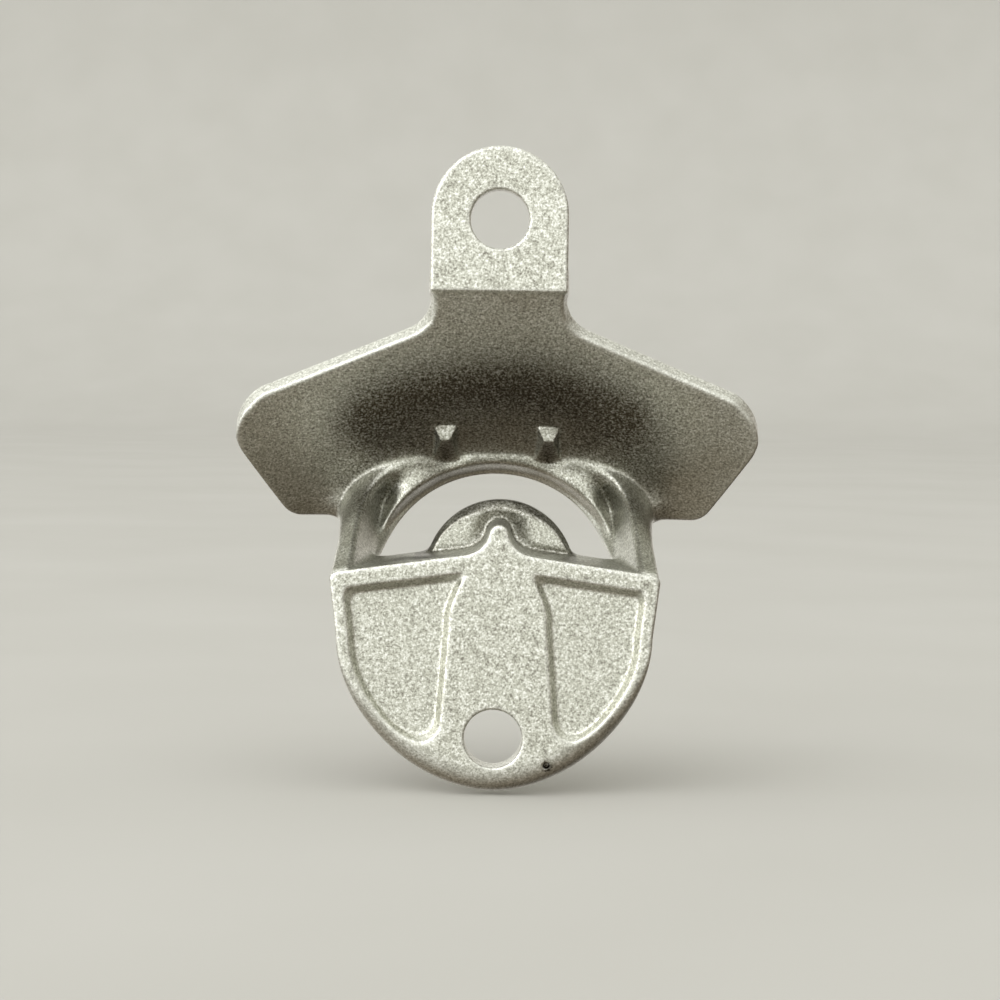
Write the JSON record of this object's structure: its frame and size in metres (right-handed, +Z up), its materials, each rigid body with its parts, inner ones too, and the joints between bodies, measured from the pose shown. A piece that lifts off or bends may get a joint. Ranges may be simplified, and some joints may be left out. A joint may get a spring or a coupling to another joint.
{
  "type": "wall-mounted bottle opener",
  "caption": "Cast iron wall opener for crown caps: screw tab, winged hood with catching teeth, arched mouth, lifting lip and shield plate.",
  "frame": {"origin": "on the axis of the upper screw hole, at the wall plane", "axes": "+Z up the wall, +Y into the wall, so the opener stands out to -Y"},
  "size_m": [0.0688, 0.029, 0.0824],
  "materials": {
    "casting": "bright plating over as-cast sand grain"
  },
  "bodies": {
    "root": {"mounting_tab": "casting", "hood_crown": "casting", "left_wing": "casting", "right_wing": "casting", "mouth_collar": "casting", "left_cheek": "casting", "right_cheek": "casting", "left_tooth": "casting", "right_tooth": "casting", "lifting_lip": "casting", "lip_rib": "casting", "base_plate": "casting"}
  },
  "joints": []
}
